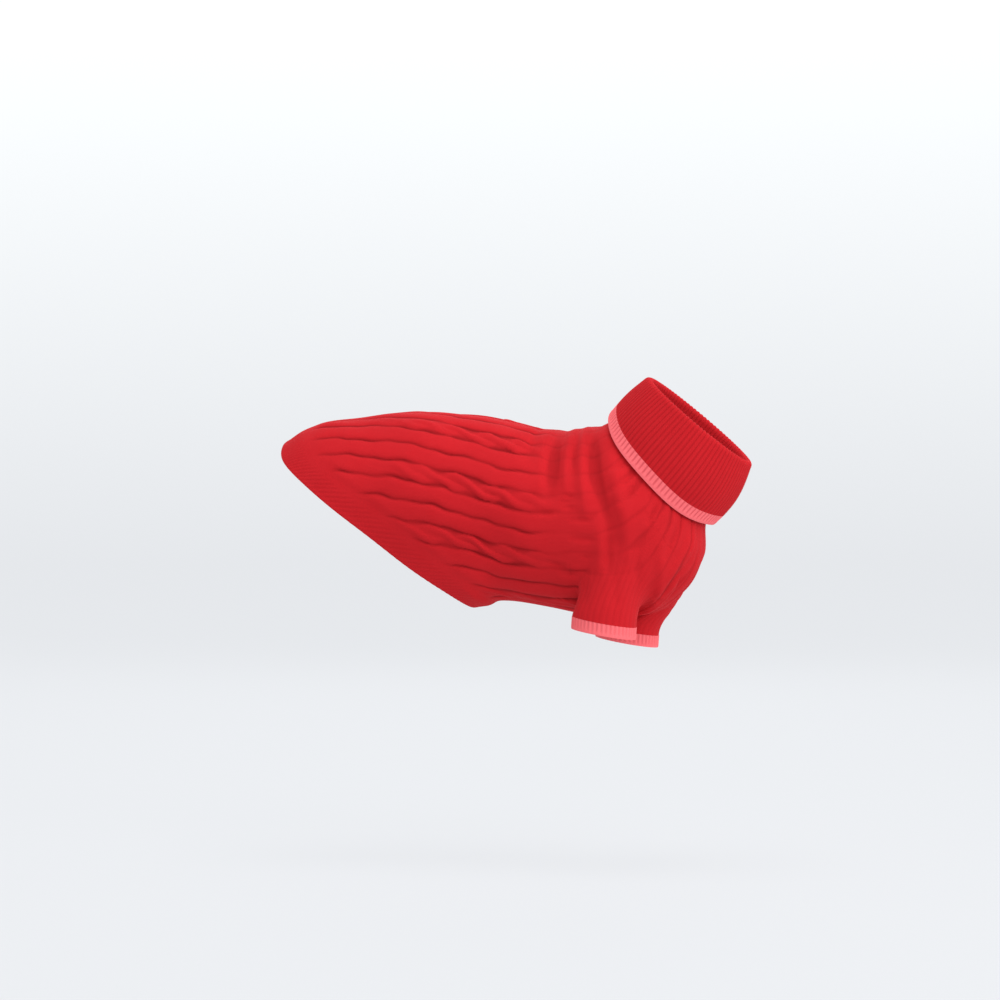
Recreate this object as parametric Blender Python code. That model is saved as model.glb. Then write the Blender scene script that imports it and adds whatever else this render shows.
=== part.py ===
"""Dog sweater, hollow as it is worn: a cable-knit roll-neck with two short sleeves.

Axes: +X towards the wearer's head, +Y to its left, +Z up, in metres. The origin is on the inside
of the back at the withers, where the garment rests on its wearer.

Every cloth piece is a wall between an outer form and the same form moved in by the wall. The
trunk's form is a run of rings, each given by its top and bottom points in the middle plane and by
its half width. A place on the trunk is a pair: the station along the run, and the angle round the
ring, which is 0 at the spine and 180 degrees under the belly.
"""

import math
from collections import namedtuple

import bmesh
import bpy
import numpy as np

MM = 0.001

# Cloth
BODY_WALL = 2.4 * MM
RIB_WALL = 2.2 * MM
SEAM_GAP = 0.3 * MM

# Trunk rings in millimetres, from the tail to the neck seam, on the outside of the cloth
Ring = namedtuple("Ring", "name top_x top_z bottom_x bottom_z half_width upper_fullness")
TRUNK_RINGS = (
    Ring("tail", -263, -8.6, -263, -113.0, 44.0, 0.10),
    Ring("rump", -240, 5.0, -240, -124.0, 52.0, 0.10),
    Ring("croup", -205, 13.0, -205, -137.0, 58.0, 0.09),
    Ring("loin", -150, 18.0, -150, -149.0, 62.0, 0.08),
    Ring("belly", -100, 16.4, -92, -154.0, 64.4, 0.07),
    Ring("ribs", -62, 11.4, -62, -146.5, 65.0, 0.07),
    Ring("girth", -30, 4.2, -24, -153.0, 66.0, 0.07),
    Ring("behind_legs", -4, 2.4, 20, -159.5, 67.0, 0.06),
    Ring("between_legs", 14, 4.8, 65, -157.5, 67.5, 0.05),
    Ring("breast", 26, 8.0, 98, -136.5, 66.0, 0.03),
    Ring("shoulder", 34, 11.0, 113.5, -110.0, 59.0, 0.02),
    Ring("neck_root", 38, 13.5, 115.5, -79.0, 52.0, 0.0),
    Ring("neck_seam", 47, 23.0, 121, -65.0, 48.0, 0.0),
)
NECK_STATION = len(TRUNK_RINGS) - 1.0

# Rear hem, a line seen from the side: upright at the tail, then slanting forward down to the belly
HEM_TAIL_X = -263 * MM
HEM_TURN_Z = -22.3 * MM
HEM_SLANT = 1.30
HEM_TURN_SOFTNESS = 8 * MM
HEM_BAND = 22 * MM

# Armholes, each an oval on the trunk's form, and the seam that joins the two body panels
ARMHOLE_STATION = 8.15
ARMHOLE_REACH = 1.35
ARMHOLE_ANGLE = math.radians(132)
ARMHOLE_SPREAD = math.radians(33)
SEAM_ANGLE_HEM = math.radians(143)
SEAM_ANGLE_NECK = math.radians(128)
STATION_PITCH = 38 * MM
GIRTH_RADIUS = 67 * MM
LAST_HEM_STATION = 7.5

# Sleeves in millimetres: where each cuff begins, and how much looser than a straight sleeve the
# front is halfway down
Sleeve = namedtuple("Sleeve", "side sign centre_x centre_y centre_z front_ease")
SLEEVES = (
    Sleeve("right", -1, 34.2, 44.0, -163.4, -3.0),
    Sleeve("left", 1, 39.4, 44.0, -175.0, 8.0),
)
CUFF_TILT = math.radians(10)
CUFF_LEAN = math.radians(4)
CUFF_HALF_LENGTH = 26.2 * MM
CUFF_HALF_WIDTH = 26 * MM
CUFF_DEPTH = 10.5 * MM
SLEEVE_TOP_PULL = 0.42
SLEEVE_CUFF_PULL = 0.34
SLEEVE_DROP_OUTSIDE = 0.4
SLEEVE_DROP_UNDERARM = 0.56
SLEEVE_EDGE_STEP = 4 * MM

# Roll neck: the fold at its top, and the free edge of the turned-down layer, in millimetres
COLLAR_FOLD = Ring("fold", 66, 45.0, 152, -28.0, 50.0, 0.0)
COLLAR_EDGE = Ring("edge", 33.5, 17.2, 122, -79.0, 59.5, 0.0)
FOLD_RADIUS = 2.6 * MM
COLLAR_TIP = 10.8 * MM
COLLAR_SIDE_SAG = 10.5 * MM
COLLAR_NAPE_BULGE = 1.5 * MM
COLLAR_THROAT_BULGE = 5.0 * MM
FOLD_START = 0.3
FOLD_END = 0.7

# Facets, and how finely slopes and the hem are worked out
ARMHOLE_STEPS = 12
REAR_ROWS = 11
FRONT_ROWS = 4
BACK_COLUMNS = 30
CHEST_COLUMNS = 12
ROUND_STEPS = 2 * ARMHOLE_STEPS
COLLAR_STEPS = 32
BAND_STEPS = 44
BAND_ROWS = 3
SLEEVE_ROWS = 6
COLLAR_ROWS = 10
SHARP_ANGLE = math.radians(40)
SLOPE_STEP = 1e-4
HALVINGS = 40

# Finishes
RED = (0.56, 0.017, 0.026)
CORAL = (0.80, 0.135, 0.15)
ROUGHNESS = 0.9


def ring_rows():
    """The trunk's rings as an array in metres, with the fullness left as a share."""
    rows = np.array([ring[1:] for ring in TRUNK_RINGS], float)
    rows[:, :5] *= MM
    return rows


def smooth_rows(rows, station):
    """The ring at each station, on a curve that passes through every ring of the table."""
    station = np.asarray(station, float)
    last = len(rows) - 1
    low = np.clip(np.floor(station).astype(int), 0, last - 1)
    share = (station - low)[:, None]
    before, after = np.clip(low - 1, 0, last), np.clip(low + 2, 0, last)
    start, end = rows[low], rows[low + 1]
    start_slope = (end - rows[before]) / np.maximum(low + 1 - before, 1)[:, None]
    end_slope = (rows[after] - start) / np.maximum(after - low, 1)[:, None]
    curve = (
        (2 * share**3 - 3 * share**2 + 1) * start
        + (share**3 - 2 * share**2 + share) * start_slope
        + (3 * share**2 - 2 * share**3) * end
        + (share**3 - share**2) * end_slope
    )
    past_end = (share < 0) | (share > 1)
    return np.where(past_end, start + share * (end - start), curve)


def on_rings(rows, angle):
    """A point on each ring at each angle. A positive angle is on the wearer's left."""
    along = np.cos(angle)
    x = (rows[:, 0] + rows[:, 2]) / 2 + (rows[:, 0] - rows[:, 2]) / 2 * along
    z = (rows[:, 1] + rows[:, 3]) / 2 + (rows[:, 1] - rows[:, 3]) / 2 * along
    y = rows[:, 4] * np.sin(angle) * (1 + rows[:, 5] * along)
    return np.stack([x, y, z], axis=1)


def trunk(station, angle):
    """A point on the outside of the trunk."""
    return on_rings(smooth_rows(ring_rows(), station), np.asarray(angle, float))


def hem_x(height, inset):
    """Where a line parallel to the hem, inset along the trunk, lies at a height."""
    below = HEM_TURN_Z - height
    slanting = (below + np.sqrt(below**2 + HEM_TURN_SOFTNESS**2)) / 2
    return HEM_TAIL_X + HEM_SLANT * slanting + inset


def hem_station(angle, band):
    """The station of the hem, or of a line that far inside it, at each angle."""
    slant_share = math.hypot(1, HEM_SLANT) - 1
    inset = band * (1 + slant_share * np.sin(angle) ** 2)
    low, high = np.zeros(len(angle)), np.full(len(angle), LAST_HEM_STATION)
    for _ in range(HALVINGS):
        middle = (low + high) / 2
        point = trunk(middle, angle)
        behind = point[:, 0] < hem_x(point[:, 2], inset)
        low, high = np.where(behind, middle, low), np.where(behind, high, middle)
    return (low + high) / 2


def armhole(turn, grow, sign):
    """A point on the edge of an armhole. Turn 0 is its front and 90 degrees its upper edge."""
    reach = ARMHOLE_REACH + grow / STATION_PITCH
    spread = ARMHOLE_SPREAD + grow / GIRTH_RADIUS
    station = ARMHOLE_STATION + reach * np.cos(turn)
    return trunk(station, sign * (ARMHOLE_ANGLE - spread * np.sin(turn)))


def panel_rows(share, angle_at_seam_side, seam_side):
    """Stations and seam angles of a body panel's rows.

    Share runs from the hem band to the neck seam. Rows lie close together beside the armhole, so
    that a panel's edge turns round it. seam_side is -1 on the back panel and 1 on the chest panel.
    """
    row = share * (REAR_ROWS + ARMHOLE_STEPS + FRONT_ROWS)
    rear_share = np.clip(row / REAR_ROWS, 0, 1)
    arm_share = np.clip((row - REAR_ROWS) / ARMHOLE_STEPS, 0, 1)
    front_share = np.clip((row - REAR_ROWS - ARMHOLE_STEPS) / FRONT_ROWS, 0, 1)
    turn = math.pi * (1 - arm_share)
    gap = seam_side * SEAM_GAP / 2
    seam = (
        ARMHOLE_ANGLE
        + (SEAM_ANGLE_HEM - ARMHOLE_ANGLE) * (1 - rear_share) ** 2
        + (SEAM_ANGLE_NECK - ARMHOLE_ANGLE) * front_share
        + seam_side * ARMHOLE_SPREAD * np.sin(turn)
        + gap / GIRTH_RADIUS
    )
    angle = angle_at_seam_side(seam)
    first = hem_station(angle, HEM_BAND + SEAM_GAP)
    armhole_rear = ARMHOLE_STATION - ARMHOLE_REACH
    station = np.where(
        row <= REAR_ROWS,
        first + (armhole_rear - first) * rear_share,
        ARMHOLE_STATION + ARMHOLE_REACH * np.cos(turn),
    )
    armhole_front = ARMHOLE_STATION + ARMHOLE_REACH
    station = np.where(
        front_share > 0,
        armhole_front + (NECK_STATION - armhole_front) * front_share,
        station,
    )
    return station, angle


def back_form(across, along):
    """The back panel: over the spine, from seam to seam."""
    station, angle = panel_rows(along, lambda seam: (2 * across - 1) * seam, -1)
    return trunk(station, angle)


def chest_form(across, along):
    """The chest panel: under the belly, between the legs and up the breast."""
    station, angle = panel_rows(
        along, lambda seam: seam + across * 2 * (math.pi - seam), 1
    )
    return trunk(station, angle)


def hem_form(around, along):
    """The ribbed band round the rear opening."""
    angle = around * 2 * math.pi
    outer, inner = hem_station(angle, 0.0), hem_station(angle, HEM_BAND)
    return trunk(outer + (inner - outer) * along, angle)


def cuff_axes(sleeve):
    """The start of a cuff, and the ways forward, outward and down along it."""
    centre = np.array([sleeve.centre_x, sleeve.sign * sleeve.centre_y, sleeve.centre_z]) * MM
    forward = np.array([math.cos(CUFF_TILT), 0, -math.sin(CUFF_TILT)])
    outward = np.array([0, sleeve.sign, 0])
    down = np.array([-math.sin(CUFF_LEAN), 0, -math.cos(CUFF_LEAN)])
    return centre, forward, outward, down


def cuff_ring(sleeve, turn, depth):
    """A point on the cuff, that far down it."""
    centre, forward, outward, down = cuff_axes(sleeve)
    return (
        centre
        + CUFF_HALF_LENGTH * np.cos(turn)[:, None] * forward
        + CUFF_HALF_WIDTH * np.sin(turn)[:, None] * outward
        + np.asarray(depth)[:, None] * down
    )


def sleeve_form(sleeve):
    """A sleeve, from its armhole seam to its cuff."""

    def form(around, along):
        turn = around * 2 * math.pi
        top = armhole(turn, -SEAM_GAP, sleeve.sign)
        inside = armhole(turn, -SLEEVE_EDGE_STEP, sleeve.sign) - top
        inside /= np.linalg.norm(inside, axis=1)[:, None]
        down = cuff_axes(sleeve)[3]
        under = (1 - np.sin(turn))[:, None] / 2
        drop = SLEEVE_DROP_OUTSIDE + (SLEEVE_DROP_UNDERARM - SLEEVE_DROP_OUTSIDE) * under
        leaving = (1 - drop) * inside + drop * down
        leaving /= np.linalg.norm(leaving, axis=1)[:, None]
        end = cuff_ring(sleeve, turn, np.full(len(turn), -SEAM_GAP))
        length = np.linalg.norm(end - top, axis=1)[:, None]
        pulled_top = top + SLEEVE_TOP_PULL * length * leaving
        pulled_end = end - SLEEVE_CUFF_PULL * length * down
        ease = sleeve.front_ease * MM * np.clip(np.cos(turn), 0, 1) ** 2
        ease *= 16 * (along * (1 - along)) ** 2
        t = along[:, None]
        return (
            (1 - t) ** 3 * top
            + 3 * (1 - t) ** 2 * t * pulled_top
            + 3 * (1 - t) * t**2 * pulled_end
            + t**3 * end
            + ease[:, None] * np.array([1, 0, 0])
        )

    return form


def cuff_form(sleeve):
    """The ribbed cuff of a sleeve."""

    def form(around, along):
        return cuff_ring(sleeve, around * 2 * math.pi, along * CUFF_DEPTH)

    return form


def collar_ring(ring, angle, outward, upward):
    """A point on a collar ring, moved outward from it and upward along the neck."""
    row = np.array([ring[1:]], float)
    row[:, :5] *= MM
    rows = np.repeat(row, len(angle), axis=0)
    across = rows[:, [0, 1]] - rows[:, [2, 3]]
    across /= np.linalg.norm(across, axis=1)[:, None]
    up = np.stack([across[:, 1], -across[:, 0]], axis=1)
    shift = np.asarray(outward)[:, None] * across
    rise = np.asarray(upward)[:, None] * up
    rows[:, [0, 1]] += shift + rise
    rows[:, [2, 3]] += rise - shift
    rows[:, 4] += outward
    return on_rings(rows, angle)


def turned_down(angle, share):
    """The middle of the turned-down layer: share 0 is at the fold and share 1 its free edge."""
    still = np.zeros(len(angle))
    sag = -COLLAR_SIDE_SAG * (1 - np.cos(angle) ** 4)
    top = collar_ring(COLLAR_FOLD, angle, still + FOLD_RADIUS, still)
    edge = collar_ring(COLLAR_EDGE, angle, still, sag)
    towards_throat = (1 - np.cos(angle)) / 2
    fullness = COLLAR_NAPE_BULGE + (COLLAR_THROAT_BULGE - COLLAR_NAPE_BULGE) * towards_throat
    share = np.asarray(share, float)
    fuller = collar_ring(COLLAR_FOLD, angle, still + FOLD_RADIUS + fullness, still) - top
    return top + (edge - top) * share[:, None] + fuller * np.sin(math.pi * share)[:, None]


def tip_share(angle, depth):
    """The share down the turned-down layer that lies that far from its free edge."""
    top = turned_down(angle, np.zeros(len(angle)))
    edge = turned_down(angle, np.ones(len(angle)))
    return 1 - depth / np.linalg.norm(top - edge, axis=1)


def collar_form(around, along):
    """The middle of the collar's cloth: up the neck, over the fold and down outside."""
    angle = around * 2 * math.pi
    still = np.zeros(len(angle))
    base = collar_ring(TRUNK_RINGS[-1], angle, still - RIB_WALL / 2, still + SEAM_GAP)
    top_in = collar_ring(COLLAR_FOLD, angle, still - FOLD_RADIUS, still)
    rise_share = np.clip(along / FOLD_START, 0, 1)[:, None]
    fold_turn = np.clip((along - FOLD_START) / (FOLD_END - FOLD_START), 0, 1) * math.pi
    drop_share = np.clip((along - FOLD_END) / (1 - FOLD_END), 0, 1)
    over = collar_ring(
        COLLAR_FOLD, angle, -FOLD_RADIUS * np.cos(fold_turn), FOLD_RADIUS * np.sin(fold_turn)
    )
    rising = base + (top_in - base) * rise_share
    falling = turned_down(angle, drop_share * tip_share(angle, COLLAR_TIP + SEAM_GAP))
    on_fold = (along > FOLD_START) & (along < FOLD_END)
    return np.where(on_fold[:, None], over, np.where(along[:, None] <= FOLD_START, rising, falling))


def tip_form(around, along):
    """The middle of the tipping along the collar's free edge."""
    angle = around * 2 * math.pi
    start = tip_share(angle, COLLAR_TIP)
    return turned_down(angle, start + (1 - start) * along)


def form_normals(form, across, along):
    """Unit normals of a form, from its slopes across and along."""
    slope_across = form(across + SLOPE_STEP, along) - form(across - SLOPE_STEP, along)
    low, high = np.clip(along - SLOPE_STEP, 0, 1), np.clip(along + SLOPE_STEP, 0, 1)
    slope_along = form(across, high) - form(across, low)
    normal = np.cross(slope_across, slope_along)
    return normal / np.linalg.norm(normal, axis=1)[:, None]


def flat_grid(columns, rows):
    """A bmesh grid from 0 to 1 in x and y."""
    mesh = bmesh.new()
    bmesh.ops.create_grid(mesh, x_segments=columns, y_segments=rows, size=0.5)
    bmesh.ops.translate(mesh, verts=mesh.verts, vec=(0.5, 0.5, 0))
    return mesh


def open_tube(columns, rows):
    """A bmesh tube whose points keep their share around in x and their share along in y."""
    mesh = bmesh.new()
    bmesh.ops.create_cone(
        mesh, cap_ends=False, segments=columns, radius1=1, radius2=1, depth=1
    )
    upright = [e for e in mesh.edges if abs(e.verts[0].co.z - e.verts[1].co.z) > 0.5]
    if rows > 1:
        bmesh.ops.subdivide_edges(mesh, edges=upright, cuts=rows - 1, use_grid_fill=True)
    for vertex in mesh.verts:
        around = math.atan2(vertex.co.y, vertex.co.x) / (2 * math.pi) % 1.0
        vertex.co = (around if around < 1 - 1e-6 else 0.0, vertex.co.z + 0.5, 0)
    return mesh


def walled(name, mesh, form, wall, outer_share, material, collection):
    """Gives a flat piece its wall and its place, and makes it an object.

    outer_share is 0 where the form is the outside of the cloth, and 0.5 where it is its middle.
    """
    inner_faces = list(mesh.faces)
    flat = {vertex: vertex.co.copy() for vertex in mesh.verts}
    made = bmesh.ops.extrude_face_region(mesh, geom=inner_faces, use_keep_orig=True)
    outer = {item for item in made["geom"] if isinstance(item, bmesh.types.BMVert)}
    bmesh.ops.reverse_faces(mesh, faces=inner_faces)
    vertices = list(mesh.verts)
    shares = np.array([(flat.get(v) or v.co)[:2] for v in vertices], float)
    across, along = shares[:, 0], shares[:, 1]
    side = np.array([vertex in outer for vertex in vertices])
    normals = form_normals(form, across, along)
    places = form(across, along)
    middle = places.mean(axis=0)
    if ((places - middle) * normals).sum() < 0:
        normals = -normals
    offset = np.where(side, outer_share, outer_share - 1) * wall
    for vertex, place in zip(vertices, places + offset[:, None] * normals):
        vertex.co = place
    bmesh.ops.recalc_face_normals(mesh, faces=mesh.faces)
    if mesh.calc_volume(signed=True) < 0:
        bmesh.ops.reverse_faces(mesh, faces=mesh.faces)
    data = bpy.data.meshes.new(name)
    mesh.to_mesh(data)
    mesh.free()
    data.materials.append(material)
    data.shade_smooth()
    data.set_sharp_from_angle(angle=SHARP_ANGLE)
    collection.objects.link(bpy.data.objects.new(name, data))


def knit_material(name, colour):
    """A plain cloth finish."""
    material = bpy.data.materials.new(name)
    material.use_nodes = True
    shader = material.node_tree.nodes["Principled BSDF"]
    shader.inputs["Base Color"].default_value = (*colour, 1)
    shader.inputs["Roughness"].default_value = ROUGHNESS
    shader.inputs["Metallic"].default_value = 0
    return material


def clear_scene():
    """Removes whatever the file opened with."""
    for thing in list(bpy.data.objects):
        bpy.data.objects.remove(thing)


def build():
    """Makes every cloth piece of the sweater."""
    clear_scene()
    collection = bpy.data.collections.new("dog_sweater")
    bpy.context.scene.collection.children.link(collection)
    red = knit_material("red_knit", RED)
    coral = knit_material("coral_rib", CORAL)
    panel_row_count = REAR_ROWS + ARMHOLE_STEPS + FRONT_ROWS

    back = flat_grid(BACK_COLUMNS, panel_row_count)
    walled("back_panel", back, back_form, BODY_WALL, 0, red, collection)
    chest = flat_grid(CHEST_COLUMNS, panel_row_count)
    walled("chest_panel", chest, chest_form, BODY_WALL, 0, red, collection)
    walled("hem_band", open_tube(BAND_STEPS, BAND_ROWS), hem_form, RIB_WALL, 0, red, collection)
    for sleeve in SLEEVES:
        tube = open_tube(ROUND_STEPS, SLEEVE_ROWS)
        name = f"sleeve_{sleeve.side}"
        walled(name, tube, sleeve_form(sleeve), RIB_WALL, 0, red, collection)
        cuff = open_tube(ROUND_STEPS, 1)
        walled(f"cuff_{sleeve.side}", cuff, cuff_form(sleeve), RIB_WALL, 0, coral, collection)
    collar = open_tube(COLLAR_STEPS, COLLAR_ROWS)
    walled("collar", collar, collar_form, RIB_WALL, 0.5, red, collection)
    walled("collar_tip", open_tube(COLLAR_STEPS, 1), tip_form, RIB_WALL, 0.5, coral, collection)


build()
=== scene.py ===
"""Looks of a cable-knit roll-neck dog sweater in its worn form, in metres.

+X is towards the wearer's head, +Y is its left and +Z is up. Each piece of cloth is a fine grid
laid on the garment's form, raised by its ribs, cables and creases, and given the cloth's wall.
A place on the trunk is a station along its rings and an angle round them, 0 at the spine.
"""

import logging
import math
from abc import ABC, abstractmethod
from dataclasses import dataclass
from enum import Enum
from functools import cached_property

import bmesh
import bpy
import numpy as np
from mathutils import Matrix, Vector


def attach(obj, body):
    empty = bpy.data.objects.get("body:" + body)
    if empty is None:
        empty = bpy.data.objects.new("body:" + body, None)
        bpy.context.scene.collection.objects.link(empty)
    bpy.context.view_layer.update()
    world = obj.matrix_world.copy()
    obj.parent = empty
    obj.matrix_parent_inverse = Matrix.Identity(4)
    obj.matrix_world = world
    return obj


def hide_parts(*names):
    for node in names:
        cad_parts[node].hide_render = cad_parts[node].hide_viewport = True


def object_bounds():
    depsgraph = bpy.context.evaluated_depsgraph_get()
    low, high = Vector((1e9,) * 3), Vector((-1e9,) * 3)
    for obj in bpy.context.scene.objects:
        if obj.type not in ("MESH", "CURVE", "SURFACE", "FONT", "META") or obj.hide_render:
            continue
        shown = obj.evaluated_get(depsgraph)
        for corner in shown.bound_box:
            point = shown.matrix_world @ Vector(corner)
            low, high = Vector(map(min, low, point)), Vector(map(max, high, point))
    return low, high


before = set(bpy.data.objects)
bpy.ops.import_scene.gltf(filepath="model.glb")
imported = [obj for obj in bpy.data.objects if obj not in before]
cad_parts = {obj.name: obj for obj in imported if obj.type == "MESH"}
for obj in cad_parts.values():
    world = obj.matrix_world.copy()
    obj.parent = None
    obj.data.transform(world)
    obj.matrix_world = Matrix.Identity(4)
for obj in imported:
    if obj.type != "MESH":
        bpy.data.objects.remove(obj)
CAD_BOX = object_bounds()

LOG = logging.getLogger("dog_sweater")
MM = 0.001
TURN = 2 * math.pi
Array = np.ndarray


class Side(Enum):
    """A side of the wearer, as the sign of Y there."""

    RIGHT = -1
    LEFT = 1


def smooth_step(value: Array, start: float, end: float) -> Array:
    """Rises smoothly from 0 at start to 1 at end.

    Args:
        value: What is compared with start and end.
        start: Where the rise begins.
        end: Where the rise ends.

    Returns:
        The rise at each value.
    """
    share = np.clip((value - start) / (end - start), 0, 1)
    return share * share * (3 - 2 * share)


def unit(vectors: Array) -> Array:
    """The vectors, each a metre long."""
    return vectors / np.maximum(np.linalg.norm(vectors, axis=1), 1e-12)[:, None]


@dataclass(frozen=True)
class Wave:
    """Slow unevenness: how high it is, the length along each way that turns it by one, its start."""

    height: float
    lengths: tuple[float, ...]
    start: float = 0.0

    def at(self, *places: Array) -> Array:
        """The wave's height.

        Args:
            places: The distance along each way.

        Returns:
            The height at each place.
        """
        turned = sum(place / length for place, length in zip(places, self.lengths))
        return self.height * np.sin(turned + self.start)


# ---------------------------------------------------------------- the garment's form


@dataclass(frozen=True)
class Ring:
    """One ring of the form in millimetres, by its top, its bottom and its half width."""

    top_x: float
    top_z: float
    bottom_x: float
    bottom_z: float
    half_width: float
    upper_fullness: float = 0.0

    def row(self) -> list[float]:
        """The ring's numbers in metres, with its fullness left as a share."""
        lengths = (self.top_x, self.top_z, self.bottom_x, self.bottom_z, self.half_width)
        return [length * MM for length in lengths] + [self.upper_fullness]


def on_rings(rows: Array, angle: Array) -> Array:
    """A point on each ring at each angle.

    Args:
        rows: One ring for each point, as Ring.row gives it.
        angle: The angle from the ring's top, positive on the wearer's left.

    Returns:
        The points.
    """
    along = np.cos(angle)
    x = (rows[:, 0] + rows[:, 2]) / 2 + (rows[:, 0] - rows[:, 2]) / 2 * along
    z = (rows[:, 1] + rows[:, 3]) / 2 + (rows[:, 1] - rows[:, 3]) / 2 * along
    y = rows[:, 4] * np.sin(angle) * (1 + rows[:, 5] * along)
    return np.stack([x, y, z], axis=1)


@dataclass(frozen=True)
class Trunk:
    """The outside of the trunk: its rings, its slanted hem and its armholes."""

    rings: tuple[Ring, ...] = (
        Ring(-263, -8.6, -263, -113.0, 44.0, 0.10),
        Ring(-240, 5.0, -240, -124.0, 52.0, 0.10),
        Ring(-205, 13.0, -205, -137.0, 58.0, 0.09),
        Ring(-150, 18.0, -150, -149.0, 62.0, 0.08),
        Ring(-100, 16.4, -92, -154.0, 64.4, 0.07),
        Ring(-62, 11.4, -62, -146.5, 65.0, 0.07),
        Ring(-30, 4.2, -24, -153.0, 66.0, 0.07),
        Ring(-4, 2.4, 20, -159.5, 67.0, 0.06),
        Ring(14, 4.8, 65, -157.5, 67.5, 0.05),
        Ring(26, 8.0, 98, -136.5, 66.0, 0.03),
        Ring(34, 11.0, 113.5, -110.0, 59.0, 0.02),
        Ring(38, 13.5, 115.5, -79.0, 52.0),
        Ring(47, 23.0, 121, -65.0, 48.0),
    )
    hem_tail_x: float = -263 * MM
    hem_turn_z: float = -22.3 * MM
    hem_slant: float = 1.30
    hem_softness: float = 8 * MM
    hem_band: float = 22 * MM
    armhole_station: float = 8.15
    armhole_reach: float = 1.35
    armhole_angle: float = math.radians(132)
    armhole_spread: float = math.radians(33)
    station_pitch: float = 38 * MM
    girth_radius: float = 67 * MM
    girth_station: float = 7.0
    last_hem_station: float = 7.5
    halvings: int = 30
    step: float = 1e-3
    arc_rows: int = 10
    arc_columns: int = 180

    @cached_property
    def rows(self) -> Array:
        """The rings as an array."""
        return np.array([ring.row() for ring in self.rings])

    @property
    def neck_station(self) -> float:
        """The station of the neck seam."""
        return len(self.rings) - 1.0

    def at(self, station: Array) -> Array:
        """The ring at each station, on a curve that passes through every ring.

        Args:
            station: Stations along the trunk.

        Returns:
            One ring for each station.
        """
        rows, last = self.rows, len(self.rings) - 1
        low = np.clip(np.floor(station).astype(int), 0, last - 1)
        share = (station - low)[:, None]
        before, after = np.clip(low - 1, 0, last), np.clip(low + 2, 0, last)
        start, end = rows[low], rows[low + 1]
        start_slope = (end - rows[before]) / np.maximum(low + 1 - before, 1)[:, None]
        end_slope = (rows[after] - start) / np.maximum(after - low, 1)[:, None]
        curve = (
            (2 * share**3 - 3 * share**2 + 1) * start
            + (share**3 - 2 * share**2 + share) * start_slope
            + (3 * share**2 - 2 * share**3) * end
            + (share**3 - share**2) * end_slope
        )
        return np.where((share < 0) | (share > 1), start + share * (end - start), curve)

    def point(self, station: Array, angle: Array) -> Array:
        """Points on the trunk.

        Args:
            station: Stations along the trunk.
            angle: Angles from the spine, positive on the wearer's left.

        Returns:
            The points.
        """
        return on_rings(self.at(station), angle)

    def normal(self, station: Array, angle: Array) -> Array:
        """Outward normals of the trunk at each station and angle.

        Args:
            station: Stations along the trunk.
            angle: Angles from the spine, positive on the wearer's left.

        Returns:
            The normals, each a metre long.
        """
        along = self.point(station + self.step, angle) - self.point(station - self.step, angle)
        around = self.point(station, angle + self.step) - self.point(station, angle - self.step)
        return unit(np.cross(along, around))

    def hem_x(self, height: Array, inset: Array) -> Array:
        """Where the hem, or a line inset from it along the trunk, lies at each height.

        Args:
            height: Heights over the withers.
            inset: How far the line lies from the hem, along the trunk.

        Returns:
            The line's x at each height.
        """
        below = self.hem_turn_z - height
        slanting = (below + np.sqrt(below**2 + self.hem_softness**2)) / 2
        return self.hem_tail_x + self.hem_slant * slanting + inset

    def hem_station(self, angle: Array, band: float) -> Array:
        """The station of the hem, or of a line that far inside it.

        Args:
            angle: Angles from the spine.
            band: How far inside the hem the line lies.

        Returns:
            The station at each angle.
        """
        inset = band * (1 + (math.hypot(1, self.hem_slant) - 1) * np.sin(angle) ** 2)
        low, high = np.zeros(len(angle)), np.full(len(angle), self.last_hem_station)
        for _ in range(self.halvings):
            middle = (low + high) / 2
            point = self.point(middle, angle)
            behind = point[:, 0] < self.hem_x(point[:, 2], inset)
            low, high = np.where(behind, middle, low), np.where(behind, high, middle)
        return (low + high) / 2

    def armhole(self, turn: Array, grow: float, side: Side) -> Array:
        """Points on an armhole's edge.

        Args:
            turn: 0 at the armhole's front tip and a quarter turn at its upper edge.
            grow: How far outside the edge the points lie.
            side: The wearer's side.

        Returns:
            The points.
        """
        reach = self.armhole_reach + grow / self.station_pitch
        spread = self.armhole_spread + grow / self.girth_radius
        station = self.armhole_station + reach * np.cos(turn)
        return self.point(station, side.value * (self.armhole_angle - spread * np.sin(turn)))

    @cached_property
    def _arcs(self) -> Array:
        """Distances round the rings from the spine, a row each tenth of a station.

        Returns:
            A row of distances for each tenth of a station, a column each degree.
        """
        stations = np.linspace(0, self.neck_station, self.arc_rows * (len(self.rings) - 1) + 1)
        angles = np.linspace(0, math.pi, self.arc_columns + 1)
        table = []
        for station in stations:
            line = self.point(np.full(len(angles), station), angles)
            steps = np.linalg.norm(np.diff(line, axis=0), axis=1)
            table.append(np.concatenate([[0], np.cumsum(steps)]))
        return np.array(table)

    def arc(self, station: Array, angle: Array) -> Array:
        """The signed distance from the spine round the ring at each station and angle.

        Args:
            station: Stations along the trunk.
            angle: Angles from the spine, positive on the wearer's left.

        Returns:
            The distances, negative on the wearer's right.
        """
        table = self._arcs
        row = np.clip(station, 0, self.neck_station) * self.arc_rows
        column = np.clip(np.abs(angle) / math.pi, 0, 1) * self.arc_columns
        low_row = np.minimum(row.astype(int), len(table) - 2)
        low_column = np.minimum(column.astype(int), self.arc_columns - 1)
        a, b = row - low_row, column - low_column
        lower = table[low_row, low_column] * (1 - b) + table[low_row, low_column + 1] * b
        upper = table[low_row + 1, low_column] * (1 - b) + table[low_row + 1, low_column + 1] * b
        return np.sign(angle) * (lower * (1 - a) + upper * a)

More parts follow.
